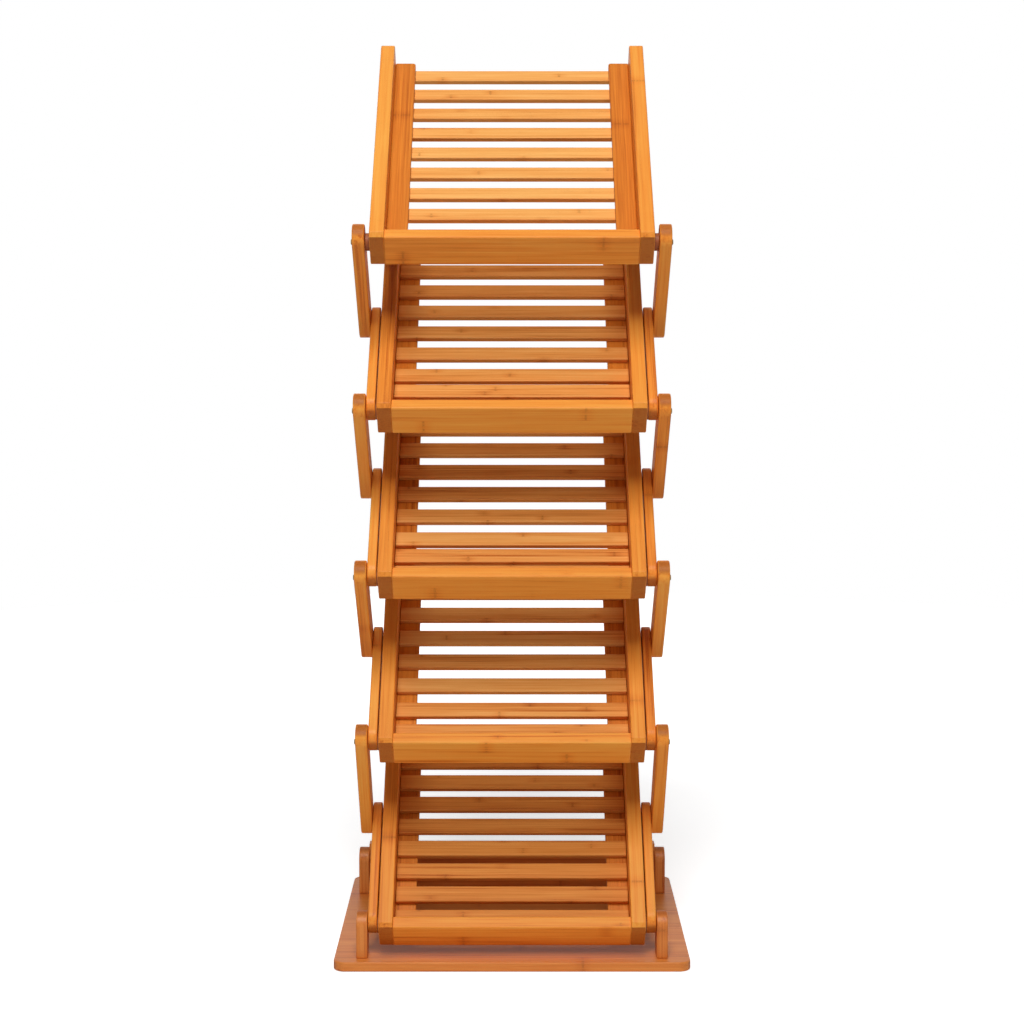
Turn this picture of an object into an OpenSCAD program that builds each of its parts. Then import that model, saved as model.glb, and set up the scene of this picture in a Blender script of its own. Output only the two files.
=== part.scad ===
// Folding brochure stand: five slatted trays on a zigzag of wooden arms above a base board.
// X runs across the stand, -Y is the front and +Z is up. The origin is under the middle of the base.

/* [Fold] */
// Angle between the floor and the trays, and the links above the lowest ones, while the stand is open
open_angle = 43.5; // [42:0.5:50]
// Angle between the lowest links and the floor while the stand is open
first_link_angle = 54.75; // [50:0.25:58]
// Angle at which the folded trays lie on the rest rail and on each other
folded_angle = 11; // [9:0.5:14]
// Distance between the two pins of an arm
pin_span = 125; // [122:1:150]

/* [Base] */
// How far the base board reaches past the rear brackets on each side
base_overhang = 9.8; // [3:0.1:30]
// Depth of the base board
base_d = 310; // [290:1:340]
// Thickness of the base board
base_t = 10; // [8:0.5:16]
// Radius of the base board's corners
base_corner_r = 12; // [4:1:25]
// Distance from the base board's front edge back to the lowest tray's front pins
front_pin_inset = 26; // [26:0.5:60]
// Height of the front brackets
front_bracket_h = 46; // [42:1:60]
// Thickness of the brackets
bracket_t = 11.5; // [10:0.5:16]
// Depth of the brackets from front to back
bracket_d = 28; // [24:1:34]
// Height of the rear brackets
rear_bracket_h = 50; // [30:1:60]
// Distance from the base board's back edge forward to the middle of the rear brackets
rear_bracket_inset = 56.5; // [40:0.5:80]
// Thickness of the rest rail between the rear brackets
rest_rail_t = 14; // [10:0.5:20]

/* [Trays] */
// Clear width between the side rails of the four lower trays
tray_inner_w = 245; // [225:1:270]
// How much wider the top tray is on each side
top_tray_extra = 6.5; // [4:0.5:9]
// Length of the four lower trays from the front pin to their top end
tray_len = 255; // [215:1:275]
// Length of the top tray from the front pin to its top end
top_tray_len = 296; // [250:1:320]
// Thickness of a side rail
rail_t = 15; // [12:0.5:18]
// Depth of a side rail from its front edge to its rear edge
rail_d = 42; // [38:0.5:42]
// How far a side rail reaches behind the line of its pins
rail_drop = 18; // [15:0.5:18]
// How far a side rail reaches past its front pin
rail_nose = 15; // [12:0.5:18]
// Chamfer on the front corner of a side rail
rail_chamfer = 4; // [2:0.5:6]
// Radius of the corners at a side rail's top end
rail_end_r = 8; // [4:0.5:14]
// Height of the lip board
lip_h = 38; // [30:0.5:38]
// Thickness of the lip board
lip_t = 13; // [10:0.5:16]

/* [Slats] */
// Width of a slat in the four lower trays
slat_w = 18.2; // [12:0.1:22]
// Gap between two slats in trays 2 to 4
slat_gap = 13.3; // [10:0.1:20]
// Gap between two slats in the lowest tray
low_slat_gap = 9.4; // [6:0.1:16]
// The two narrower gaps next to the lip in trays 3 and 4
foot_slat_gap = 4.3; // [3:0.1:12]
// Width of a slat in the top tray
top_slat_w = 17.5; // [14:0.5:24]
// Gap between two slats in the top tray
top_slat_gap = 15.1; // [8:0.1:18]
// Thickness of a slat
slat_t = 6; // [4:0.5:7]
// Gap between the lip board and the lowest slat in trays 1, 3 and 4
first_slat_gap = 3.8; // [1:0.1:10]
// Gap between the lip board and the lowest slat in tray 2
tray2_first_slat_gap = 9.7; // [1:0.1:12]
// Gap between the two lowest slats in tray 2
tray2_foot_slat_gap = 9; // [3:0.1:12]
// Gap between the lip board and the lowest slat in the top tray
top_first_slat_gap = 15.3; // [8:0.1:20]
// Least distance from the highest slat to the top end of its tray
last_slat_margin = 4; // [2:0.5:20]
// Width of the stiles that carry the slats
stile_w = 22; // [14:0.5:30]
// Thickness of a stile
stile_t = 7; // [5:0.5:9]
// Gap between a slat's end and the side rail beside it
slat_end_gap = 0.5; // [0.2:0.1:2]

/* [Arms] */
// Width of an arm
arm_w = 28; // [22:1:30]
// Thickness of a tray arm
arm_t = 9.5; // [8:0.5:14]
// Thickness of a link arm
link_t = 12.5; // [9:0.5:15]
// Extra length of a link arm past its front pin
link_nose = 6; // [0:0.5:8]
// How much further a tray arm reaches past its rear pin than past its front pin, halved
arm_rise = 6; // [0:0.5:7]
// Gap between pieces that turn past each other
turn_gap = 0.4; // [0.3:0.1:1]
// Thickness of the washer between a tray arm and its side rail
washer_t = 2; // [1:0.5:5]
// Diameter of the washers
washer_dia = 18; // [14:0.5:20]

/* [Pins and screws] */
// Diameter of the pivot pins
pin_dia = 6; // [5:0.5:8]
// Play of a turning arm or bracket round its pin, on the radius
pin_play = 0.08; // [0.05:0.01:0.1]
// Glue gap round a pin where it is fixed, on the radius
pin_seat = 0.03; // [0.02:0.01:0.05]
// How far a pin reaches into its side rail
pin_bite = 10; // [7:0.5:11]
// How far the ends of the front pins stand out of the link arms
pin_proud = 2; // [1:0.5:4]
// How deep the other pin ends lie below the surface
pin_sunk = 0.5; // [0.2:0.1:1]
// Shank diameter of the wood screws under the base
screw_dia = 4; // [3:0.5:5]
// Head diameter of the wood screws under the base
screw_head_dia = 8; // [7:0.5:10]
// Length of the wood screws
screw_len = 32; // [26:1:36]

/* [Edges] */
// Radius that eases the long edges of the boards
edge_r = 1.2; // [0.6:0.1:1.8]

/* [Hidden] */
tray_count = 5;
$fn = 48;

wood = "#c8792f";
wood_light = "#d98a3c";
wood_dark = "#b0652a";
brass = "#8c7440";
nylon = "#7a4522";
steel = "#8d8a84";

// Heights and depths that follow from the fold
arm_r = arm_w / 2;
pin_y = front_pin_inset - base_d / 2;
base_pin_z = base_t + front_bracket_h - bracket_d / 2;
function link_angle(k) = k == 1 ? first_link_angle : open_angle;
function tier_h(k) = pin_span * (sin(open_angle) + sin(link_angle(k)));
upper_pin_y = pin_y + pin_span * (cos(open_angle) - cos(first_link_angle));
function front_pin_y(k) = k == 1 ? pin_y : upper_pin_y;
function front_pin_z(k) = base_pin_z + (k > 1 ? tier_h(1) + (k - 2) * tier_h(2) : 0);
function rear_pin_y(k) = front_pin_y(k) + pin_span * cos(open_angle);
function rear_pin_z(k) = front_pin_z(k) + pin_span * sin(open_angle);

// Layers across the stand, from the side rails outwards
rail_in = tray_inner_w / 2;
rail_out = rail_in + rail_t;
tray_arm_in = rail_out + washer_t;
tray_arm_out = tray_arm_in + arm_t;
link_in = tray_arm_out + turn_gap;
link_out = link_in + link_t;
rear_bracket_in = link_out + 2 * turn_gap;
top_rail_in = rail_in + top_tray_extra;
top_rail_out = top_rail_in + rail_t;
base_w = 2 * (rear_bracket_in + bracket_t + base_overhang);

// Levels across a tray, measured from the line of its pins towards the reader
rail_back = -rail_drop;
rail_front = rail_d - rail_drop;
carrier_front = rail_back + stile_t;
slat_front = carrier_front + slat_t;
top_slat_back = rail_back + stile_t - slat_t;
top_stile_front = top_slat_back + slat_t + stile_t;
lip_back_y = lip_t - rail_nose;
most_slats = 24;

// The rest rail reaches up to where the folded lowest tray lies on it
rear_bracket_y = base_d / 2 - rear_bracket_inset;
rest_reach = rear_bracket_y - rest_rail_t / 2 - pin_y;
rest_clear = 0.6;
rest_rail_h = base_pin_z - base_t - rest_clear
    + rest_reach * tan(folded_angle) - rail_drop / cos(folded_angle);

// Places what follows in a tray's own frame: +Y up the tray, +Z out of its face, pin line at the origin
module on_tray(k) {
    translate([0, front_pin_y(k), front_pin_z(k)]) rotate([open_angle, 0, 0]) children();
}

// Places what follows in a link arm's own frame: rear pin at the origin, +Y up along the arm
module on_link(k) {
    translate([0, rear_pin_y(k), rear_pin_z(k)]) rotate([180 - link_angle(k), 0, 0]) children();
}

// Flat outline with eased corners
module eased_rect(x0, x1, y0, y1, r) {
    translate([x0 + r, y0]) square([x1 - x0 - 2 * r, y1 - y0]);
    translate([x0, y0 + r]) square([x1 - x0, y1 - y0 - 2 * r]);
    for (x = [x0 + r, x1 - r], y = [y0 + r, y1 - r]) translate([x, y]) circle(r);
}

// Board along Y with its four long edges eased
module board_y(x, y, z, r = edge_r) {
    translate([0, y[1], 0]) rotate([90, 0, 0])
        linear_extrude(y[1] - y[0]) eased_rect(x[0], x[1], z[0], z[1], r);
}

// Board along X with its four long edges eased
module board_x(x, y, z, r = edge_r) {
    translate([x[0], 0, 0]) rotate([90, 0, 90])
        linear_extrude(x[1] - x[0]) eased_rect(y[0], y[1], z[0], z[1], r);
}

// Round bar along X from one level to another
module bar_x(x, d) {
    translate([x[0], 0, 0]) rotate([0, 90, 0]) cylinder(h = x[1] - x[0], d = d);
}

// Repeats what is drawn on the right-hand side on the left-hand side
module both_sides() {
    children();
    mirror([1, 0, 0]) children();
}

module on_side(side) {
    if (side > 0) children();
    else mirror([1, 0, 0]) children();
}

// Extrudes an outline, drawn along Y and Z, across a layer in X
module layer_x(x) {
    translate([x[0], 0, 0]) rotate([90, 0, 90]) linear_extrude(x[1] - x[0]) children();
}

// Base

module base_board() {
    color(wood) difference() {
        linear_extrude(base_t)
            eased_rect(-base_w / 2, base_w / 2, -base_d / 2, base_d / 2, base_corner_r);
        for (p = screw_places()) translate([p[0], p[1], 0]) {
            translate([0, 0, -1]) cylinder(h = base_t + 2, d = screw_dia + 2 * pin_seat);
            countersink(pin_seat);
        }
    }
}

// Cone that takes a screw head, its wide end flush with the underside
module countersink(gap = 0) {
    cone_h = (screw_head_dia - screw_dia) / 2;
    cylinder(h = cone_h + gap, d1 = screw_head_dia + 2 * gap, d2 = screw_dia + 2 * gap);
}

// Each bracket is held by two screws and the rest rail by two
function screw_places() = [
    for (side = [-1, 1], dy = [-0.25, 0.25] * bracket_d)
        each [
            [side * (link_in + bracket_t / 2), pin_y + dy],
            [side * (rear_bracket_in + bracket_t / 2), rear_bracket_y + dy],
        ],
    for (side = [-1, 1]) [side * rail_in, rear_bracket_y]
];

module base_screws() {
    color(steel) for (p = screw_places()) translate([p[0], p[1], 0]) {
        countersink();
        cylinder(h = screw_len, d = screw_dia);
    }
}

// Upright block with a round top, for one side
module bracket(x, y, h) {
    difference() {
        translate([0, y, base_t]) layer_x(x) {
            translate([-bracket_d / 2, 0]) square([bracket_d, h - bracket_d / 2]);
            translate([0, h - bracket_d / 2]) circle(bracket_d / 2, $fn = 96);
        }
        for (dy = [-0.25, 0.25] * bracket_d)
            translate([(x[0] + x[1]) / 2, y + dy, base_t - 1])
                cylinder(h = screw_len - base_t + 2, d = screw_dia + 2 * pin_seat);
    }
}

module front_bracket(side) {
    color(wood) on_side(side) difference() {
        bracket([link_in, link_in + bracket_t], pin_y, front_bracket_h);
        translate([0, pin_y, base_pin_z])
            bar_x([link_in - 1, link_in + bracket_t + 1], pin_dia + 2 * pin_play);
    }
}

module rear_bracket(side) {
    color(wood) on_side(side)
        bracket([rear_bracket_in, rear_bracket_in + bracket_t], rear_bracket_y, rear_bracket_h);
}

// Rail on which the folded trays rest
module rest_rail() {
    color(wood_dark) difference() {
        translate([0, rear_bracket_y, base_t])
            board_x([-rear_bracket_in, rear_bracket_in], [-0.5, 0.5] * rest_rail_t, [0, rest_rail_h]);
        for (side = [-1, 1]) translate([side * rail_in, rear_bracket_y, base_t - 1])
            cylinder(h = screw_len - base_t + 2, d = screw_dia + 2 * pin_seat);
    }
}

// Trays

function is_top(k) = k == tray_count;
function len_of(k) = is_top(k) ? top_tray_len : tray_len;
function rail_in_of(k) = is_top(k) ? top_rail_in : rail_in;

// Side outline of a rail: chamfered front corner at the bottom, eased corners at the top end
module rail_outline(len) {
    r = rail_end_r;
    polygon([
        [-rail_nose, rail_back], [len - r, rail_back], [len, rail_back + r], [len, rail_front - r],
        [len - r, rail_front], [rail_chamfer - rail_nose, rail_front],
        [-rail_nose, rail_front - rail_chamfer]
    ]);
    for (z = [rail_back + r, rail_front - r]) translate([len - r, z]) circle(r);
}

module tray_rail(k, side) {
    x = [rail_in_of(k), rail_in_of(k) + rail_t];
    color(wood_light) on_tray(k) on_side(side) difference() {
        intersection() {
            layer_x(x) rail_outline(len_of(k));
            board_y(x, [-rail_nose - 1, len_of(k) + 1], [rail_back, rail_front]);
        }
        for (y = pin_stations(k)) translate([0, y, 0])
            bar_x([x[1] - pin_bite, x[1] + 1], pin_dia + 2 * pin_seat);
    }
}

// The lower trays have a front and a rear pin on each side, the top tray only a front pin
function pin_stations(k) = is_top(k) ? [0] : [0, pin_span];

module tray_lip(k) {
    x = rail_in_of(k);
    color(wood) on_tray(k)
        board_x([-x, x], [-rail_nose, lip_back_y], [rail_back, rail_back + lip_h]);
}

// The stiles run up the inner face of each side rail
module tray_stiles(k) {
    z = is_top(k) ? [top_slat_back + slat_t, top_stile_front] : [rail_back, carrier_front];
    x = rail_in_of(k);
    color(wood_dark) on_tray(k) both_sides()
        board_y([x - stile_w, x], [lip_back_y, len_of(k)], z);
}

// The slats follow each other up the tray; in trays 2, 3 and 4 one or two gaps next to the lip are narrower
function slat_w_of(k) = is_top(k) ? top_slat_w : slat_w;
function slat_gap_of(k) = is_top(k) ? top_slat_gap : k == 1 ? low_slat_gap : slat_gap;
function foot_gaps(k) = [0, 1, 2, 2, 0][k - 1];
function foot_gap_of(k) = k == 2 ? tray2_foot_slat_gap : foot_slat_gap;
function first_gap_of(k) = is_top(k) ? top_first_slat_gap : k == 2 ? tray2_first_slat_gap : first_slat_gap;
function slat_y(k, i) = lip_back_y + first_gap_of(k) + i * (slat_w_of(k) + slat_gap_of(k))
    - min(i, foot_gaps(k)) * (slat_gap_of(k) - foot_gap_of(k));
function fits(k, i) = slat_y(k, i) + slat_w_of(k) <= len_of(k) - last_slat_margin;

// Slats lie on the stiles in the lower trays and behind them in the top tray
module tray_slats(k) {
    z = is_top(k) ? [top_slat_back, top_slat_back + slat_t] : [carrier_front, slat_front];
    x = rail_in_of(k) - slat_end_gap;
    color(wood_light) on_tray(k) for (i = [0 : most_slats - 1]) if (fits(k, i))
        board_x([-x, x], [slat_y(k, i), slat_y(k, i) + slat_w_of(k)], z);
}

// Arms

// Bar with round ends from y0 to y1, for a layer in X
module arm(x, y0, y1) {
    layer_x(x) {
        translate([y0, -arm_r]) square([y1 - y0, arm_w]);
        for (y = [y0, y1]) translate([y, 0]) circle(arm_r, $fn = 96);
    }
}

module tray_arm(k, side) {
    color(wood) on_tray(k) on_side(side) difference() {
        arm([tray_arm_in, tray_arm_out], arm_rise, pin_span + arm_rise);
        for (y = [0, pin_span]) translate([0, y, 0])
            bar_x([tray_arm_in - 1, tray_arm_out + 1], pin_dia + 2 * pin_seat);
    }
}

module link_arm(k, side) {
    color(wood_dark) on_link(k) on_side(side) difference() {
        arm([link_in, link_out], 0, pin_span + link_nose);
        for (y = [0, pin_span]) translate([0, y, 0])
            bar_x([link_in - 1, link_out + 1], pin_dia + 2 * pin_play);
    }
}

// Pins and washers

// A pin is fixed in its rail, and an arm or a bracket turns on its outer end
module pin(k, out) {
    bar_x([rail_in_of(k) + rail_t - pin_bite, out], pin_dia);
}

module tray_pins(k) {
    color(brass) on_tray(k) both_sides() {
        pin(k, k == 1 ? link_in + bracket_t - pin_sunk : link_out + pin_proud);
        if (!is_top(k)) translate([0, pin_span, 0]) pin(k, link_out - pin_sunk);
    }
}

// Washers keep the arms clear of the rails; the top tray's washers reach to the link arms
module tray_washers(k) {
    x = is_top(k) ? [top_rail_out, link_in - turn_gap] : [rail_out, tray_arm_in];
    color(nylon) on_tray(k) both_sides() for (y = pin_stations(k)) translate([0, y, 0]) difference() {
        bar_x(x, washer_dia);
        bar_x([x[0] - 1, x[1] + 1], pin_dia + 2 * pin_seat);
    }
}

base_board();
front_bracket(-1);  // front_bracket_left
front_bracket(1);  // front_bracket_right
rear_bracket(-1);  // rear_bracket_left
rear_bracket(1);  // rear_bracket_right
rest_rail();
base_screws();
for (k = [1 : tray_count]) {
    tray_rail(k, -1);
    tray_rail(k, 1);
    tray_lip(k);
    tray_stiles(k);
    tray_slats(k);
    tray_pins(k);
    tray_washers(k);
}
for (k = [1 : tray_count - 1]) {
    tray_arm(k, -1);
    tray_arm(k, 1);
    link_arm(k, -1);
    link_arm(k, 1);
}
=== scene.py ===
"""Folding bamboo brochure stand: its boards, finishes, light and camera, in metres."""
import itertools
import math

import bpy
import numpy as np
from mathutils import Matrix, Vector
from mathutils.geometry import tessellate_polygon


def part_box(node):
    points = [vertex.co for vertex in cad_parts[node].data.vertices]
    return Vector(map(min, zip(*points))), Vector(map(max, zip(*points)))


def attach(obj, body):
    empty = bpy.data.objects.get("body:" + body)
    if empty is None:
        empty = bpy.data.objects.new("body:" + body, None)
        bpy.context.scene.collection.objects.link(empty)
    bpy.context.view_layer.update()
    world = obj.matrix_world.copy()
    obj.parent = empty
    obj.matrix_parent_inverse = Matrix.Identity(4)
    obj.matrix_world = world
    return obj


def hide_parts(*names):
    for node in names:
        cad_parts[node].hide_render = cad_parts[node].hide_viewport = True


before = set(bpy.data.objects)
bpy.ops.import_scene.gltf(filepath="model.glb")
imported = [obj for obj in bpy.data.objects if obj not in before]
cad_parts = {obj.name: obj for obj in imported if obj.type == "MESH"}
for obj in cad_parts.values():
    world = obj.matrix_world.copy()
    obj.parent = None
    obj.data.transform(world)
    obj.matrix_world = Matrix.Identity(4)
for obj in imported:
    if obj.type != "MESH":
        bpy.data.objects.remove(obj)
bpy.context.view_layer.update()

MM = 0.001

# Sizes of the stand, the same as in the frame
TRAYS = 5
BASE_PIN_Y, BASE_PIN_Z = -129 * MM, 42 * MM
PIN_SPAN = 125 * MM
OPEN_ANGLE, FIRST_LINK_ANGLE = math.radians(43.5), math.radians(54.75)
BASE_W, BASE_D, BASE_T, BASE_CORNER_R = 368 * MM, 310 * MM, 10 * MM, 12 * MM
BRACKET_T, BRACKET_D = 11.5 * MM, 28 * MM
FRONT_BRACKET_H, REAR_BRACKET_H, REAR_BRACKET_Y = 46 * MM, 50 * MM, 98.5 * MM
REST_RAIL_T = 14 * MM
TRAY_HALF = 122.5 * MM
RAIL_T, RAIL_BACK, RAIL_FRONT = 15 * MM, -18 * MM, 24 * MM
RAIL_NOSE, RAIL_CHAMFER, RAIL_END_R = 15 * MM, 4 * MM, 8 * MM
LIP_T, LIP_H = 13 * MM, 38 * MM
LIP_BACK = LIP_T - RAIL_NOSE
SLAT_T, SLAT_END_GAP = 6 * MM, 0.5 * MM
STILE_W, STILE_T = 22 * MM, 7 * MM
ARM_W, TRAY_ARM_T, LINK_T = 28 * MM, 9.5 * MM, 12.5 * MM
# How far the tray arms sit up the tray from their pins, and how far a link reaches past its upper pin
ARM_RISE, LINK_NOSE = 6 * MM, 6 * MM
WASHER_T, WASHER_D, TURN_GAP = 2 * MM, 18 * MM, 0.4 * MM
PIN_D, PIN_PLAY, PIN_SEAT = 6 * MM, 0.08 * MM, 0.03 * MM
PIN_BITE, PIN_PROUD, PIN_SUNK = 10 * MM, 2 * MM, 0.5 * MM
SCREW_D, SCREW_HEAD_D, SCREW_LEN = 4 * MM, 8 * MM, 32 * MM

# Layers across the stand, from the side rails outwards
RAIL_OUT = TRAY_HALF + RAIL_T
TRAY_ARM_IN = RAIL_OUT + WASHER_T
TRAY_ARM_OUT = TRAY_ARM_IN + TRAY_ARM_T
LINK_IN = TRAY_ARM_OUT + TURN_GAP
LINK_OUT = LINK_IN + LINK_T
REAR_BRACKET_IN = LINK_OUT + 2 * TURN_GAP

# What differs between the four lower trays and the top one
LOWER = dict(inner=TRAY_HALF, length=255 * MM, slat_w=18.2 * MM,
             slat_back=RAIL_BACK + STILE_T, stile_back=RAIL_BACK, pins=(0, PIN_SPAN))
TOP = dict(inner=129 * MM, length=296 * MM, slat_w=17.5 * MM,
           slat_back=RAIL_BACK + STILE_T - SLAT_T, stile_back=RAIL_BACK + STILE_T, pins=(0,))


def slat_edges(count, first_gap, width, gap, foot_gaps=0, foot_gap=0):
    """Lower edges of a tray's slats: slat i starts i (width + gap) above the first, less what the narrower
    gaps at the foot save."""
    i = np.arange(count)
    return LIP_BACK + first_gap + i * (width + gap) - np.minimum(i, foot_gaps) * (gap - foot_gap)


CLOSE_AT_FOOT = slat_edges(8, 3.8 * MM, LOWER["slat_w"], 13.3 * MM, 2, 4.3 * MM)
SLAT_EDGES = {1: slat_edges(9, 3.8 * MM, LOWER["slat_w"], 9.4 * MM),
              2: slat_edges(8, 9.7 * MM, LOWER["slat_w"], 13.3 * MM, 1, 9 * MM),
              3: CLOSE_AT_FOOT, 4: CLOSE_AT_FOOT,
              5: slat_edges(9, 15.3 * MM, TOP["slat_w"], 15.1 * MM)}

X, Y, Z = np.eye(3)
# Local axes for what lies flat on the base, and for outlines drawn along Y and Z with their layer along X
LEVEL, ACROSS = (X, Y, Z), (Y, Z, X)


def lean(angle):
    """Directions along a board that leans back by an angle to the floor, and square out of its face:
    (0, cos, sin) and (0, -sin, cos)."""
    c, s = math.cos(angle), math.sin(angle)
    return c * Y + s * Z, c * Z - s * Y


TRAY_AXES = (*lean(OPEN_ANGLE), X)


def link_angle(k):
    """The lowest links stand steeper than the others, which lean as much as the trays."""
    return FIRST_LINK_ANGLE if k == 1 else OPEN_ANGLE


def link_axes(k):
    """Directions of link k, which leans forwards: up along it, out of its lower side and to the right."""
    return (*lean(math.pi - link_angle(k)), X)


def front_pin(k):
    """Front pin of tray k: each tray below it adds its own arm and link."""
    place = BASE_PIN_Y * Y + BASE_PIN_Z * Z
    for j in range(1, k):
        place = place + PIN_SPAN * (TRAY_AXES[0] + link_axes(j)[0])
    return place


def rear_pin(k):
    """Rear pin of tray k, one arm up the tray from its front pin."""
    return front_pin(k) + PIN_SPAN * TRAY_AXES[0]


# Board shapes

# Degrees from point to point on a wide corner and on a small one
FINE_STEP, COARSE_STEP = 5, 18
# Points closer than the first count as one, and a triangle smaller than the second is left out
SAME_POINT, LEAST_AREA = 1e-7, 1e-14


def outline(corners, radii):
    """Closed convex outline, anticlockwise, with its outward normals. Each corner P between sides with
    normals n1 and n2 becomes an arc C + r (cos a, sin a), where C = P - r (n1 + n2) / (1 + n1.n2) and a
    runs from n1's angle to n2's."""
    corners = np.array(corners, float)
    side = np.roll(corners, -1, 0) - corners
    side /= np.linalg.norm(side, axis=1)[:, None]
    normal = np.stack([side[:, 1], -side[:, 0]], 1)
    points, normals = [], []
    for p, n1, n2, r in zip(corners, np.roll(normal, 1, 0), normal, radii):
        first = math.atan2(n1[1], n1[0])
        turn = (math.atan2(n2[1], n2[0]) - first) % (2 * math.pi)
        steps = max(3, math.ceil(math.degrees(turn) / (FINE_STEP if r > 5 * MM else COARSE_STEP)))
        a = first + turn * np.linspace(0, 1, steps + 1)
        n = np.stack([np.cos(a), np.sin(a)], 1)
        points.append(p - r * (n1 + n2) / (1 + n1 @ n2) + r * n)
        normals.append(n)
    points, normals = np.concatenate(points), np.concatenate(normals)
    gap = np.linalg.norm(np.roll(points, -1, 0) - points, axis=1)
    points, normals = points[gap > SAME_POINT], normals[gap > SAME_POINT]
    return points, normals


def block(low, high, r):
    """Outline of a rectangle with four equal corners."""
    (x0, y0), (x1, y1) = low, high
    return outline([(x0, y0), (x1, y0), (x1, y1), (x0, y1)], [r] * 4)


def ring_quads(rows, columns):
    """Corner numbers of the quads between neighbouring rings, each ring closed on itself."""
    r, c = np.meshgrid(np.arange(rows - 1), np.arange(columns), indexing="ij")
    d = (c + 1) % columns
    return np.stack([r * columns + c, r * columns + d, (r + 1) * columns + d, (r + 1) * columns + c],
                    -1).reshape(-1, 4)


class Shell:
    """Closed surfaces gathered in one mesh. Each face corner has its exact normal, and each point its place
    in its own board: metres along the grain, across it and through it."""

    def __init__(self):
        self.points, self.faces, self.normals, self.grain, self.ends, self.board = [], [], [], [], [], []
        self.count = 0

    def add(self, points, groups, place, axes, grain=0, number=0):
        """Puts points of a local frame at place + points . axes. The grain runs along the axis of that
        number, and an end's share is the size of the normal along it."""
        axes = np.array(axes)
        roll = [grain, (grain + 1) % 3, (grain + 2) % 3]
        self.points.append(np.array(place) + points @ axes)
        drift = np.random.default_rng(number + 11).uniform(0.2, 3.0, 3) * (1, 0.05, 0.05)
        self.grain.append(points[:, roll] - points[:, roll].min(0) * (0, 1, 1) + drift * (1, 0, 0))
        self.board.append(np.full(len(points), number, float))
        for faces, normals in groups:
            self.faces += (np.array(faces) + self.count).tolist()
            self.normals.append(normals.reshape(-1, 3) @ axes)
            self.ends.append(np.abs(normals.reshape(-1, 3)[:, grain]))
        self.count += len(points)

    def build(self, name, body, finish, slot, *nodes):
        """Makes one mesh of it all, with its grain, board and end attributes, and hangs it on its body."""
        mesh = bpy.data.meshes.new(name)
        mesh.from_pydata(np.concatenate(self.points).tolist(), [], self.faces)
        mesh.polygons.foreach_set("use_smooth", np.ones(len(mesh.polygons), bool))
        mesh.normals_split_custom_set(np.concatenate(self.normals).tolist())
        for title, kind, domain, values, key in (
                ("grain", "FLOAT_VECTOR", "POINT", self.grain, "vector"),
                ("board", "FLOAT", "POINT", self.board, "value"),
                ("end", "FLOAT", "CORNER", self.ends, "value")):
            layer = mesh.attributes.new(title, kind, domain)
            layer.data.foreach_set(key, np.concatenate(values).astype(np.float32).ravel())
        mesh.materials.append(finish)
        mesh.validate()
        piece = bpy.data.objects.new(name, mesh)
        bpy.context.scene.collection.objects.link(piece)
        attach(piece, body)
        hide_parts(*nodes)


def circle(centre, radius, height, steps):
    """Points (cx + r cos a, cy + r sin a, height), a going once round in equal steps."""
    a = np.arange(steps) * 2 * math.pi / steps
    x, y = centre[0] + radius * np.cos(a), centre[1] + radius * np.sin(a)
    return np.stack([x, y, np.full(steps, height)], 1)


def bore_wall(centre, profile, steps):
    """Rings of a bore, its wall's quads and their normals, and the way it runs, 1 up or -1 down. From one
    ring to the next the normal is square to the profile's line and points at the bore's middle."""
    profile = np.array(profile)
    rings = np.concatenate([circle(centre, r, h, steps) for r, h in profile])
    quads = ring_quads(len(profile), steps)
    run = np.diff(profile, axis=0)
    way = np.sign(profile[-1, 1] - profile[0, 1])
    tilt = np.stack([-run[:, 1], run[:, 0]], 1) * way / np.linalg.norm(run, axis=1)[:, None]
    here = np.arange(steps)
    beyond = (here + 1) % steps
    around = circle((0, 0), 1, 0, steps)[np.stack([here, beyond, beyond, here], 1)]
    normals = (tilt[:, None, None, :1] * around[None] + tilt[:, None, None, 1:] * Z).reshape(-1, 4, 3)
    if way > 0:
        quads, normals = quads[:, ::-1], normals[:, ::-1]
    return rings, quads, normals, way


def flat_face(points, loops, up):
    """Level face inside the first loop and outside the others, with its normals: one polygon where there is
    one loop, and otherwise triangles, each turned over where its area has the wrong sign."""
    if len(loops) == 1:
        face = loops[0] if up > 0 else loops[0][::-1]
        return [face], np.repeat([[[0, 0, up]]], len(face), 1)
    found = np.array(tessellate_polygon([(points[loop] * (1, 1, 0)).tolist() for loop in loops]))
    tri = np.concatenate(loops)[found]
    a, b, c = (points[tri[:, i], :2] for i in range(3))
    area = (b[:, 0] - a[:, 0]) * (c[:, 1] - a[:, 1]) - (b[:, 1] - a[:, 1]) * (c[:, 0] - a[:, 0])
    tri = np.where((area * up > 0)[:, None], tri, tri[:, ::-1])[np.abs(area) > LEAST_AREA]
    return tri, np.repeat([[[0, 0, up]] * 3], len(tri), 0)


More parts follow.
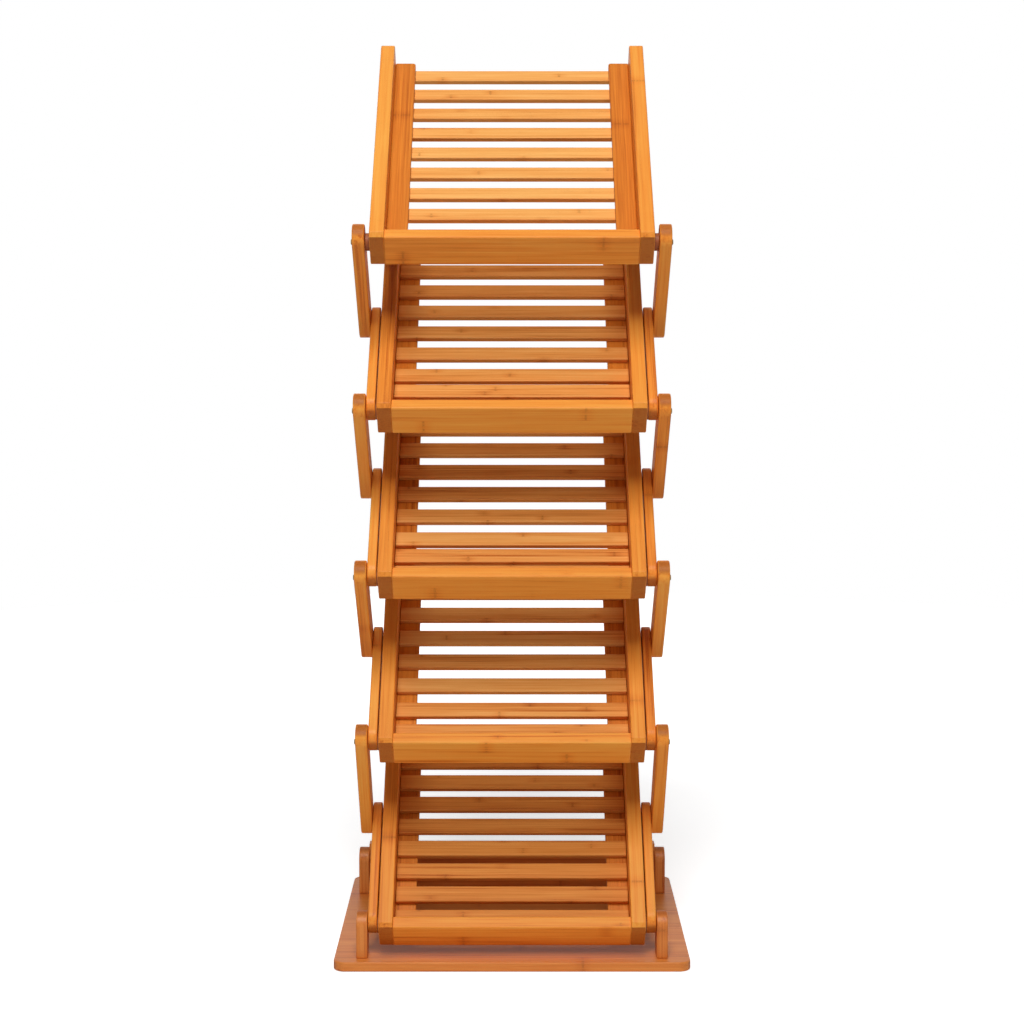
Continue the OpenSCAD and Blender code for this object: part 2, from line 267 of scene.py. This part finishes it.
def slab(shape, low, high, ease, bores=(), bore_steps=32, ease_steps=4):
    """Board of an outline's shape from low to high with eased edges. While q goes from 0 to 90 degrees, the
    outline moves in by ease (1 - sin q) and rises by ease (1 - cos q), and the same mirrored at the top.
    A bore is (centre, rows of radius and height) from one face inwards, through or to a flat end."""
    base, normal = shape
    n = len(base)
    q = np.linspace(0, math.pi / 2, ease_steps + 1)
    sine, cosine = np.concatenate([np.sin(q), np.sin(q[::-1])]), np.concatenate([-np.cos(q), np.cos(q[::-1])])
    height = np.concatenate([low + ease * (1 - np.cos(q)), high - ease * (1 - np.cos(q[::-1]))])
    flat = base[None] - (ease * (1 - sine))[:, None, None] * normal[None]
    rows = len(sine)
    points = [np.dstack([flat, np.repeat(height[:, None], n, 1)]).reshape(-1, 3)]
    facing = np.dstack([normal[None] * sine[:, None, None], np.repeat(cosine[:, None], n, 1)]).reshape(-1, 3)
    quads = ring_quads(rows, n)
    groups = [(quads, facing[quads])]
    loops = {low: [np.arange(n)], high: [np.arange(n) + (rows - 1) * n]}
    count = rows * n
    for centre, profile in bores:
        rings, walls, wall_normals, way = bore_wall(centre, profile, bore_steps)
        points.append(rings)
        groups.append((walls + count, wall_normals))
        for row in (0, len(profile) - 1):
            loop = np.arange(bore_steps) + count + row * bore_steps
            if profile[row][1] in loops:
                loops[profile[row][1]].append(loop)
            else:
                groups.append(flat_face(rings, [loop], -way))
        count += len(rings)
    points = np.concatenate(points)
    return points, groups + [flat_face(points, loops[low], -1.0), flat_face(points, loops[high], 1.0)]


def turned(profile, steps=40, closed=False):
    """Solid of revolution about the local third axis. Row i is a ring of radius r_i at height h_i; the
    normals are square to the profile's mean direction. A closed profile makes a ring, an open one has flat
    ends."""
    profile = np.array(profile)
    points = np.concatenate([circle((0, 0), r, h, steps) for r, h in profile])
    run = (np.roll(profile, -1, 0) - np.roll(profile, 1, 0)) if closed else np.gradient(profile, axis=0)
    tilt = np.stack([run[:, 1], -run[:, 0]], 1) / np.linalg.norm(run, axis=1)[:, None]
    around = circle((0, 0), 1, 0, steps)
    facing = (tilt[:, None, :1] * around[None] + tilt[:, None, 1:] * Z).reshape(-1, 3)
    quads = ring_quads(len(profile), steps)
    first = np.arange(steps)
    last = (len(profile) - 1) * steps + first
    if closed:
        quads = np.concatenate([quads, np.stack([last, np.roll(last, -1), np.roll(first, -1), first], 1)])
        return points, [(quads, facing[quads])]
    return points, [(quads, facing[quads]), flat_face(points, [first], -1.0), flat_face(points, [last], 1.0)]


# Finishes

class Wire:
    """A shader value that can be written into Python sums."""

    def __init__(self, tree, socket):
        self.tree, self.socket = tree, socket

    def node(self, kind, settings=None, out=0, **sockets):
        """Adds a node, with its settings first and then the values or links of its sockets."""
        made = self.tree.nodes.new("ShaderNode" + kind)
        for key, value in (settings or {}).items():
            if key == "stops":
                ramp = made.color_ramp.elements
                while len(ramp) < len(value):
                    ramp.new(0.5)
                for stop, (place, colour) in zip(ramp, value):
                    stop.position, stop.color = place, (*colour, 1)
            else:
                setattr(made, key, value)
        for key, value in sockets.items():
            target = made.inputs[int(key[1:])] if key[0] == "_" else made.inputs[key.replace("_", " ")]
            if isinstance(value, Wire):
                self.tree.links.new(value.socket, target)
            else:
                target.default_value = value
        return Wire(self.tree, made.outputs[out])

    def maths(self, operation, *values):
        """Adds a Math node, with its sockets in order."""
        return self.node("Math", {"operation": operation}, **{f"_{i}": v for i, v in enumerate(values)})

    def __add__(self, other):
        return self.maths("ADD", self, other)

    def __radd__(self, other):
        return self.maths("ADD", other, self)

    def __sub__(self, other):
        return self.maths("SUBTRACT", self, other)

    def __rsub__(self, other):
        return self.maths("SUBTRACT", other, self)

    def __mul__(self, other):
        return self.maths("MULTIPLY", self, other)

    def __rmul__(self, other):
        return self.maths("MULTIPLY", other, self)

    def __truediv__(self, other):
        return self.maths("DIVIDE", self, other)

    def __rtruediv__(self, other):
        return self.maths("DIVIDE", other, self)

    def floor(self):
        """Whole number at or below it."""
        return self.maths("FLOOR", self)

    def part(self):
        """What it has above that whole number."""
        return self.maths("FRACT", self)

    def size(self):
        """Its distance from 0."""
        return self.maths("ABSOLUTE", self)

    def step(self, low, high):
        """0 below low and 1 above high, smooth between; the other way round if low is above high."""
        return self.node("MapRange", {"interpolation_type": "SMOOTHSTEP"},
                         _0=self, _1=low, _2=high, _3=0.0, _4=1.0)

    def mix(self, a, b):
        """Colour a where this is 0 and b where it is 1."""
        return self.node("Mix", {"data_type": "RGBA"}, out=2, _0=self, _6=a, _7=b)

    def split(self):
        """The three numbers of a vector."""
        made = self.node("SeparateXYZ", _0=self)
        return [Wire(self.tree, s) for s in made.socket.node.outputs]

    def join(self, x, y, z):
        """Vector of three numbers."""
        return self.node("CombineXYZ", _0=x, _1=y, _2=z)


def finish(name, paint):
    """Material whose surface is set by paint(wire, surface node)."""
    material = bpy.data.materials.new(name)
    material.use_nodes = True
    tree = material.node_tree
    surface = tree.nodes["Principled BSDF"]
    paint(Wire(tree, None), surface)
    return material


def put(surface, socket, value):
    """Sets a socket to a plain value, or links a wire to it."""
    if isinstance(value, Wire):
        value.tree.links.new(value.socket, surface.inputs[socket])
    else:
        surface.inputs[socket].default_value = value


def linear(r, g, b):
    """Colour written in screen values from 0 to 255, as the renderer counts it."""
    return tuple((v / 255 / 12.92) if v < 10.3 else ((v / 255 + 0.055) / 1.055) ** 2.4 for v in (r, g, b))


# Depth of a glued strip, and the distance from one node line to the next along it
STRIP_DEPTH, NODE_PITCH = 19 * MM, 0.26
NODE_LINE, GRAIN_PORE, END_GRAIN = linear(128, 66, 24), linear(128, 62, 18), linear(172, 92, 30)


def bamboo(pale, middle, deep, strip=6.2 * MM, gloss=0.15):
    """Carbonised bamboo: glued strips side by side, each with its own tone, fibres along the grain, and a
    dark node line with a soft halo every quarter metre or so, in a different place in each strip."""

    def paint(w, surface):
        along, across, through = w.node("Attribute", {"attribute_name": "grain"}, out=1).split()
        board = w.node("Attribute", {"attribute_name": "board"}, out=2)
        end = w.node("Attribute", {"attribute_name": "end"}, out=2)
        stave = w.join((across / strip + board * 0.37).floor(), (through / STRIP_DEPTH).floor(), board)
        dice = w.node("TexWhiteNoise", {"noise_dimensions": "3D"}, out=1, Vector=stave)
        tone, shift, rare = dice.split()
        board_tone = w.node("TexWhiteNoise", {"noise_dimensions": "1D"}, W=board * 1.7 + 3.1)
        place = along + shift * 1.3

        def fibres(long, wide, detail):
            return w.node("TexNoise", {"noise_dimensions": "3D"}, Scale=1.0, Detail=detail, Roughness=0.6,
                          Vector=w.join(place * long, across * wide + shift * 40, through * wide + tone * 40))

        fine, coarse, cloud = fibres(16.0, 1500.0, 3.0), fibres(7.0, 330.0, 2.0), fibres(9.0, 30.0, 2.0)
        waver, streak = fibres(60.0, 500.0, 1.0), fibres(2.2, 150.0, 2.0).step(0.54, 0.72)
        # Distance from the node line, in metres, bent a little by the fibres
        node = ((place / NODE_PITCH).part() - 0.5).size() * NODE_PITCH + (waver - 0.5) * 0.004
        line = node.step(2.4 * MM, 0.4 * MM) * rare.step(0.4, 0.5) * waver.step(0.3, 0.7)
        halo = node.step(12 * MM, 0.0) * rare.step(0.3, 0.4)
        fleck = fibres(70.0, 900.0, 1.0).step(0.7, 0.85)
        shade = (fine * 0.95 + coarse * 1.0 + cloud * 0.4 + tone * 0.26 + board_tone * 0.3
                 - halo * 0.22 - fleck * 0.08 - streak * 0.4 - 0.82)
        wood = w.node("ValToRGB", {"stops": [(0.0, deep), (0.5, middle), (1.0, pale)]}, Fac=shade)
        wood = (line * 0.45).mix(wood, (*NODE_LINE, 1))
        dots = w.node("TexVoronoi", {"voronoi_dimensions": "3D"}, Scale=1.0,
                      Vector=w.join(0.0, across * 1400.0, through * 1400.0))
        grain_end = dots.step(0.15, 0.5).mix((*GRAIN_PORE, 1), (*END_GRAIN, 1))
        at_end = end.step(0.72, 0.95)
        put(surface, "Base Color", (at_end * 0.8).mix(wood, grain_end))
        put(surface, "Roughness", 0.36 + fine * 0.12 + at_end * 0.12)
        put(surface, "Normal", w.node("Bump", Strength=0.35, Distance=0.0003,
                                      Height=fine * 0.5 + coarse * 0.3 - line * 0.5))
        put(surface, "Specular IOR Level", gloss)
        put(surface, "Coat Weight", 0.05)
        put(surface, "Coat Roughness", 0.25)

    return paint


# The output of the Texture Coordinate node that gives the place on the object
OBJECT_PLACE = 3


def brass(w, surface):
    """Aged brass: brown tarnish in soft clouds, with finer turning marks."""
    place = w.node("TexCoord", out=OBJECT_PLACE)
    cloud = w.node("TexNoise", Scale=420.0, Detail=4.0, Roughness=0.6, Vector=place)
    marks = w.node("TexNoise", Scale=2600.0, Detail=2.0, Vector=place)
    tarnish, bright = linear(96, 84, 52), linear(152, 128, 76)
    put(surface, "Base Color", cloud.step(0.35, 0.65).mix((*tarnish, 1), (*bright, 1)))
    put(surface, "Metallic", 1.0)
    put(surface, "Roughness", 0.3 + cloud * 0.25)
    put(surface, "Normal", w.node("Bump", Strength=0.3, Distance=0.0001, Height=marks))


def nylon(w, surface):
    """Brown nylon with a faint moulded grain."""
    place = w.node("TexCoord", out=OBJECT_PLACE)
    grit = w.node("TexNoise", Scale=1800.0, Detail=3.0, Vector=place)
    dark, light = linear(138, 72, 26), linear(158, 86, 34)
    put(surface, "Base Color", grit.step(0.3, 0.7).mix((*dark, 1), (*light, 1)))
    put(surface, "Roughness", 0.5 + grit * 0.15)
    put(surface, "Normal", w.node("Bump", Strength=0.2, Distance=0.0001, Height=grit))


def steel(w, surface):
    """Zinc-plated steel, a little blotchy."""
    place = w.node("TexCoord", out=OBJECT_PLACE)
    cloud = w.node("TexNoise", Scale=500.0, Detail=4.0, Vector=place)
    dull, bright = linear(176, 176, 170), linear(204, 203, 196)
    put(surface, "Base Color", cloud.step(0.3, 0.7).mix((*dull, 1), (*bright, 1)))
    put(surface, "Metallic", 1.0)
    put(surface, "Roughness", 0.25 + cloud * 0.2)
    put(surface, "Normal", w.node("Bump", Strength=0.15, Distance=0.0001, Height=cloud))


def bamboo_finish(name, pale, middle, deep, **looks):
    """Bamboo of three tones, written in screen values."""
    return finish(name, bamboo(linear(*pale), linear(*middle), linear(*deep), **looks))


BAMBOO = bamboo_finish("bamboo", (246, 170, 72), (238, 142, 50), (194, 94, 25))
TOP_SLAT_BAMBOO = bamboo_finish("top_slat_bamboo", (250, 188, 108), (240, 162, 82), (202, 112, 44),
                                gloss=0.08)
SLAT_BAMBOO = bamboo_finish("slat_bamboo", (242, 176, 98), (228, 147, 70), (186, 98, 34), gloss=0.08)
# Darker copy of the slat bamboo for the lowest tray: painted shade standing in for the shadow that the tray
# above casts on its slats
SHADED_LOW_SLAT_BAMBOO = bamboo_finish("low_slat_painted_shade_bamboo", (230, 154, 74), (212, 128, 54), (168, 84, 26), gloss=0.06)
# Darker copy of the rails' bamboo for the stiles: painted shade standing in for the shade of their recess
# behind the rails' front faces
SHADED_STILE_BAMBOO = bamboo_finish("stile_painted_shade_bamboo", (230, 143, 52), (208, 118, 38), (172, 84, 22), gloss=0.1)
BASE_BAMBOO = bamboo_finish("base_bamboo", (230, 148, 72), (212, 122, 50), (180, 92, 34),
                            strip=19 * MM, gloss=0.25)
BRASS, NYLON, STEEL = finish("pin_brass", brass), finish("washer_nylon", nylon), finish("screw_steel", steel)

# Trays
EASE = 1.2 * MM
SIDES = (("left", -1), ("right", 1))


def layer(side, inner, outer):
    """Lowest and highest X of a layer on one side of the stand."""
    return (inner, outer) if side > 0 else (-outer, -inner)


def bore(centre, radius, low, high):
    """Straight hole from the upper face to the lower one."""
    return centre, [(radius, high), (radius, low)]


def rail(tray, side):
    """Side rail: its front corner is cut off at 45 degrees and its upper end is rounded. The pin holes go
    in from outside."""
    r, f = RAIL_BACK, RAIL_FRONT
    shape = outline([(-RAIL_NOSE, r), (tray["length"], r), (tray["length"], f),
                     (RAIL_CHAMFER - RAIL_NOSE, f), (-RAIL_NOSE, f - RAIL_CHAMFER)],
                    [2.5 * MM, RAIL_END_R, RAIL_END_R, 1.4 * MM, 1.4 * MM])
    low, high = layer(side, tray["inner"], tray["inner"] + RAIL_T)
    depth = [(PIN_D / 2 + PIN_SEAT, high), (PIN_D / 2 + PIN_SEAT, high - PIN_BITE)]
    if side < 0:
        depth = [(PIN_D / 2 + PIN_SEAT, low), (PIN_D / 2 + PIN_SEAT, low + PIN_BITE)]
    return slab(shape, low, high, EASE, [((s, 0), depth) for s in tray["pins"]])


def arm(start, end, low, high, pins, hole):
    """Board with round ends of the arm's half width about start and end."""
    r = ARM_W / 2
    shape = outline([(start - r, -r), (end + r, -r), (end + r, r), (start - r, r)], [r] * 4)
    return slab(shape, low, high, 1.4 * MM, [bore((p, 0), hole, low, high) for p in pins])


def tray_pin(low, high, proud):
    """Pin along X from low to high, with its outer end rounded off where it stands proud."""
    r, e = PIN_D / 2, (1.1 * MM if proud else 0.4 * MM)
    q = np.linspace(0, math.pi / 2, 7)
    dome = [(r - e * (1 - math.cos(a)), high - e * (1 - math.sin(a))) for a in q]
    return turned([(r - 0.4 * MM, low), (r - 0.1 * MM, low + 0.1 * MM), (r, low + 0.4 * MM)] + dome
                  + [(r * 0.3, high)])


def washer(low, high):
    """Ring round a pin with its four edges eased."""
    r, hole, e = WASHER_D / 2, PIN_D / 2 + PIN_SEAT, 0.4 * MM
    return turned([(hole, high - 0.02 * MM), (hole, low + 0.02 * MM), (hole + 0.2 * MM, low), (r - e, low),
                   (r - 0.1 * MM, low + 0.1 * MM), (r, low + e), (r, high - e),
                   (r - 0.1 * MM, high - 0.1 * MM), (r - e, high), (hole + 0.2 * MM, high)][::-1],
                  closed=True)


def flipped(shape):
    """The same turned solid on the left: a half turn about the local first axis."""
    points, groups = shape
    turn = np.array([1, -1, -1])
    return points * turn, [(faces, normals * turn) for faces, normals in groups]


board = itertools.count(1)

for k in range(1, TRAYS + 1):
    tray, body, pin = (TOP if k == TRAYS else LOWER), f"tray_{k}", front_pin(k)
    inner, length = tray["inner"], tray["length"]
    for word, side in SIDES:
        shell = Shell()
        shell.add(*rail(tray, side), pin, TRAY_AXES, 0, next(board))
        shell.build(f"tray{k}_side_rail_{word}", body, BAMBOO, "bamboo", f"tray{k}_rail_{word}")

    shell = Shell()
    profile = block((-RAIL_NOSE, RAIL_BACK), (LIP_BACK, RAIL_BACK + LIP_H), 1.8 * MM)
    shell.add(*slab(profile, -inner, inner, 0.8 * MM), pin, TRAY_AXES, 2, next(board))
    shell.build(f"tray{k}_lip_board", body, BAMBOO, "bamboo", f"tray{k}_lip")

    shell = Shell()
    for s in SLAT_EDGES[k]:
        profile = block((s, tray["slat_back"]), (s + tray["slat_w"], tray["slat_back"] + SLAT_T), 1.3 * MM)
        shell.add(*slab(profile, -inner + SLAT_END_GAP, inner - SLAT_END_GAP, 0.8 * MM), pin, TRAY_AXES, 2,
                  next(board))
    # The lowest tray's slats take the darker copy with painted shade
    slat_finish = {1: SHADED_LOW_SLAT_BAMBOO, TRAYS: TOP_SLAT_BAMBOO}.get(k, SLAT_BAMBOO)
    shell.build(f"tray{k}_back_slats", body, slat_finish, "bamboo", f"tray{k}_slats")

    shell = Shell()
    for word, side in SIDES:
        low, high = layer(side, inner - STILE_W, inner)
        near, far = (2.8 * MM, 1.3 * MM) if side > 0 else (1.3 * MM, 2.8 * MM)
        shape = outline([(low, LIP_BACK), (high, LIP_BACK), (high, length), (low, length)],
                        [1.3 * MM, 1.3 * MM, far, near])
        shell.add(*slab(shape, tray["stile_back"], tray["stile_back"] + STILE_T, EASE), pin,
                  (X, *TRAY_AXES[:2]), 1, next(board))
    shell.build(f"tray{k}_stile_pair", body, SHADED_STILE_BAMBOO, "bamboo", f"tray{k}_stiles")

    pins, washers = Shell(), Shell()
    for s in tray["pins"]:
        place = pin + s * TRAY_AXES[0]
        start = inner + RAIL_T - PIN_BITE
        if s:
            end, proud = LINK_OUT - PIN_SUNK, False
        elif k == 1:
            end, proud = LINK_IN + BRACKET_T - PIN_SUNK, False
        else:
            end, proud = LINK_OUT + PIN_PROUD, True
        spacer = washer(inner + RAIL_T, LINK_IN - TURN_GAP if k == TRAYS else TRAY_ARM_IN)
        for shell, shape in ((pins, tray_pin(start, end, proud)), (washers, spacer)):
            shell.add(*shape, place, TRAY_AXES)
            shell.add(*flipped(shape), place, TRAY_AXES)
    pins.build(f"tray{k}_pivot_pins", body, BRASS, "pin_brass", f"tray{k}_pins")
    washers.build(f"tray{k}_spacers", body, NYLON, "washer_nylon", f"tray{k}_washers")

for k in range(1, TRAYS):
    for word, side in SIDES:
        shell = Shell()
        low, high = layer(side, TRAY_ARM_IN, TRAY_ARM_OUT)
        shell.add(*arm(ARM_RISE, PIN_SPAN + ARM_RISE, low, high, (0, PIN_SPAN), PIN_D / 2 + PIN_SEAT),
                  front_pin(k), TRAY_AXES, 0, next(board))
        shell.build(f"tray{k}_pivot_arm_{word}", f"tray_{k}", BAMBOO, "bamboo", f"tray{k}_arm_{word}")
        shell = Shell()
        low, high = layer(side, LINK_IN, LINK_OUT)
        shell.add(*arm(0, PIN_SPAN + LINK_NOSE, low, high, (0, PIN_SPAN), PIN_D / 2 + PIN_PLAY),
                  rear_pin(k), link_axes(k), 0, next(board))
        shell.build(f"link{k}_arm_{word}", f"link_{k}", BAMBOO, "bamboo", f"link{k}_{word}")

# Base
BRACKET_MIDDLES = ((LINK_IN + BRACKET_T / 2, BASE_PIN_Y), (REAR_BRACKET_IN + BRACKET_T / 2, REAR_BRACKET_Y))
SCREWS = [(side * x, y + d) for side in (-1, 1) for d in (-BRACKET_D / 4, BRACKET_D / 4)
          for x, y in BRACKET_MIDDLES]
SCREWS += [(side * LOWER["inner"], REAR_BRACKET_Y) for side in (-1, 1)]
CONE = (SCREW_HEAD_D - SCREW_D) / 2

shell = Shell()
sink = [(SCREW_HEAD_D / 2 + PIN_SEAT, 0.0), (SCREW_D / 2 + PIN_SEAT, CONE), (SCREW_D / 2 + PIN_SEAT, BASE_T)]
plank = block((-BASE_W / 2, -BASE_D / 2), (BASE_W / 2, BASE_D / 2), BASE_CORNER_R)
shell.add(*slab(plank, 0.0, BASE_T, 1.5 * MM, [(p, sink) for p in SCREWS]), (0, 0, 0), LEVEL, 0, next(board))
shell.build("base_plank", "base", BASE_BAMBOO, "base_bamboo", "base_board")


def upright(y, height, low, high, hole):
    """Block with a round top; the front ones take the lowest pins."""
    r = BRACKET_D / 2
    top = BASE_T + height
    shape = outline([(y - r, BASE_T), (y + r, BASE_T), (y + r, top), (y - r, top)], [EASE, EASE, r, r])
    bores = [bore((y, top - r), PIN_D / 2 + PIN_PLAY, low, high)] if hole else []
    return slab(shape, low, high, EASE, bores)


for word, side in SIDES:
    for title, y, height, inside, hole in (("front", BASE_PIN_Y, FRONT_BRACKET_H, LINK_IN, True),
                                           ("rear", REAR_BRACKET_Y, REAR_BRACKET_H, REAR_BRACKET_IN, False)):
        shell = Shell()
        shape = upright(y, height, *layer(side, inside, inside + BRACKET_T), hole)
        shell.add(*shape, (0, 0, 0), ACROSS, 1, next(board))
        shell.build(f"{title}_upright_{word}", "base", BASE_BAMBOO, "base_bamboo", f"{title}_bracket_{word}")

shell = Shell()
rail_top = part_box("rest_rail")[1].z
rail_front, rail_back = REAR_BRACKET_Y - REST_RAIL_T / 2, REAR_BRACKET_Y + REST_RAIL_T / 2
profile = block((rail_front, BASE_T), (rail_back, rail_top), EASE)
shell.add(*slab(profile, -REAR_BRACKET_IN, REAR_BRACKET_IN, 0.4 * MM), (0, 0, 0), ACROSS, 2, next(board))
shell.build("rest_rail_board", "base", BASE_BAMBOO, "base_bamboo", "rest_rail")


# A screw head's cross recess: its depth, an arm's half width, and where an arm ends and how it runs out
CROSS_DEPTH, CROSS_HALF, CROSS_END, CROSS_RUN = 1.5 * MM, 0.55 * MM, 2.5 * MM, 0.9 * MM


def screw():
    """Countersunk screw, head down. The head's face sinks by depth times beside times out: beside falls from
    1 to 0 as the smaller of |x| and |y| passes an arm's half width, and out as the radius nears an arm's
    end. Then follow the cone, the shank and a blunt point."""
    steps = 48
    face_r = np.linspace(0.12, 1, 13) * (SCREW_HEAD_D / 2 - 0.15 * MM)
    a = np.arange(steps) * 2 * math.pi / steps
    x, y = np.outer(face_r, np.cos(a)), np.outer(face_r, np.sin(a))
    beside = np.clip(1.6 - np.minimum(abs(x), abs(y)) / CROSS_HALF, 0, 1)
    out = np.clip((CROSS_END - np.hypot(x, y)) / CROSS_RUN, 0, 1)
    face = np.dstack([x, y, CROSS_DEPTH * beside * out]).reshape(-1, 3)
    body = [(SCREW_HEAD_D / 2, 0.1 * MM), (SCREW_D / 2, CONE), (SCREW_D / 2, CONE + 0.5 * MM),
            (SCREW_D / 2, SCREW_LEN - 2 * MM), (SCREW_D / 8, SCREW_LEN)]
    points = np.concatenate([face] + [circle((0, 0), r, h, steps) for r, h in body])
    rows = len(face_r) + len(body)
    first, last = np.arange(steps), np.arange(steps) + (rows - 1) * steps
    grid = points.reshape(rows, steps, 3)
    around, along = np.roll(grid, -1, 1) - np.roll(grid, 1, 1), np.gradient(grid, axis=0)
    normal = np.cross(around, along).reshape(-1, 3)
    normal /= np.linalg.norm(normal, axis=1)[:, None]
    quads = ring_quads(rows, steps)
    return points, [(quads, normal[quads]), flat_face(points, [first], -1.0), flat_face(points, [last], 1.0)]


shell = Shell()
for x, y in SCREWS:
    shell.add(*screw(), (x, y, 0), LEVEL)
shell.build("base_wood_screws", "base", STEEL, "screw_steel", "base_screws")

# Floor, light and camera

# The floor's white, its glow for the camera near the stand, and the least glow that it gives other rays
FLOOR_WHITE, NEAR_GLOW, BOUNCE = 0.92, 0.62, 0.12
# Its radius, how far it lies below the base, from where to where its glow rises to full white, and the
# points round its rim
FLOOR_R, FLOOR_BELOW, GLOW_STARTS, GLOW_FULL, RIM_STEPS = 2.4, 0.4 * MM, 0.35, 1.6, 64


def pale_floor(w, surface):
    """White studio floor that shows the stand's soft shadow near it and runs out into the white behind."""
    put(surface, "Base Color", (*[FLOOR_WHITE] * 3, 1))
    put(surface, "Roughness", 0.9)
    put(surface, "Specular IOR Level", 0.1)
    place = w.node("TexCoord", out=OBJECT_PLACE)
    far = w.node("VectorMath", {"operation": "LENGTH"}, out=1, _0=place).step(GLOW_STARTS, GLOW_FULL)
    glow = w.maths("MAXIMUM", w.node("LightPath") * (NEAR_GLOW + far * (1 - NEAR_GLOW)), BOUNCE)
    put(surface, "Emission Color", glow.mix((0, 0, 0, 1), (1, 1, 1, 1)))
    put(surface, "Emission Strength", 1.0)


rim = circle((0, 0), FLOOR_R, -FLOOR_BELOW, RIM_STEPS)
floor_mesh = bpy.data.meshes.new("floor")
floor_mesh.from_pydata(rim.tolist(), [], [list(range(RIM_STEPS))])
floor_mesh.materials.append(finish("floor_white", pale_floor))
floor = bpy.data.objects.new("floor", floor_mesh)
bpy.context.scene.collection.objects.link(floor)

AMBIENT = 0.07
world = bpy.data.worlds.new("studio")
bpy.context.scene.world = world
world.use_nodes = True
sky = Wire(world.node_tree, None)
path = sky.node("LightPath").socket.node.outputs
seen = (Wire(world.node_tree, path[ray]) for ray in ("Is Camera Ray", "Is Glossy Ray"))
white = sky.maths("MAXIMUM", *seen)
background = world.node_tree.nodes["Background"]
background.inputs["Color"].default_value = (1, 1, 1, 1)
world.node_tree.links.new((white * (1 - AMBIENT) + AMBIENT).socket, background.inputs["Strength"])


def softbox(name, place, aim, width, height, power):
    """Rectangular lamp at place that faces aim."""
    lamp = bpy.data.lights.new(name, "AREA")
    lamp.shape, lamp.size, lamp.size_y, lamp.energy = "RECTANGLE", width, height, power
    box = bpy.data.objects.new(name, lamp)
    box.location = place
    box.rotation_euler = (Vector(aim) - Vector(place)).to_track_quat("-Z", "Y").to_euler()
    bpy.context.scene.collection.objects.link(box)


softbox("top_light", (-0.1, -2.0, 3.05), (0, 0, 0.5), 1.1, 1.8, 88)
softbox("front_light", (0.4, -3.4, 0.7), (0, 0, 0.4), 2.0, 1.2, 4)

# The lens sits in front of the upper trays' front pins and looks a little down; its shift, in picture points,
# sets how high the stand appears
LENS_PX, SHIFT_PX, PICTURE_PX, SENSOR = 2095, -58, 1024, 36
LENS_AWAY, LENS_UP, LENS_DIP = 2.141, 0.7173, 5.0
camera_data = bpy.data.cameras.new("camera")
camera_data.sensor_width = SENSOR
camera_data.lens = LENS_PX / PICTURE_PX * SENSOR
camera_data.shift_y = SHIFT_PX / PICTURE_PX
camera_data.clip_end = 60
camera = bpy.data.objects.new("camera", camera_data)
camera.location = (0, front_pin(TRAYS)[1] - LENS_AWAY, LENS_UP)
camera.rotation_euler = (math.radians(90 - LENS_DIP), 0, 0)
bpy.context.scene.collection.objects.link(camera)
bpy.context.scene.camera = camera
bpy.context.scene.view_settings.view_transform = "Standard"
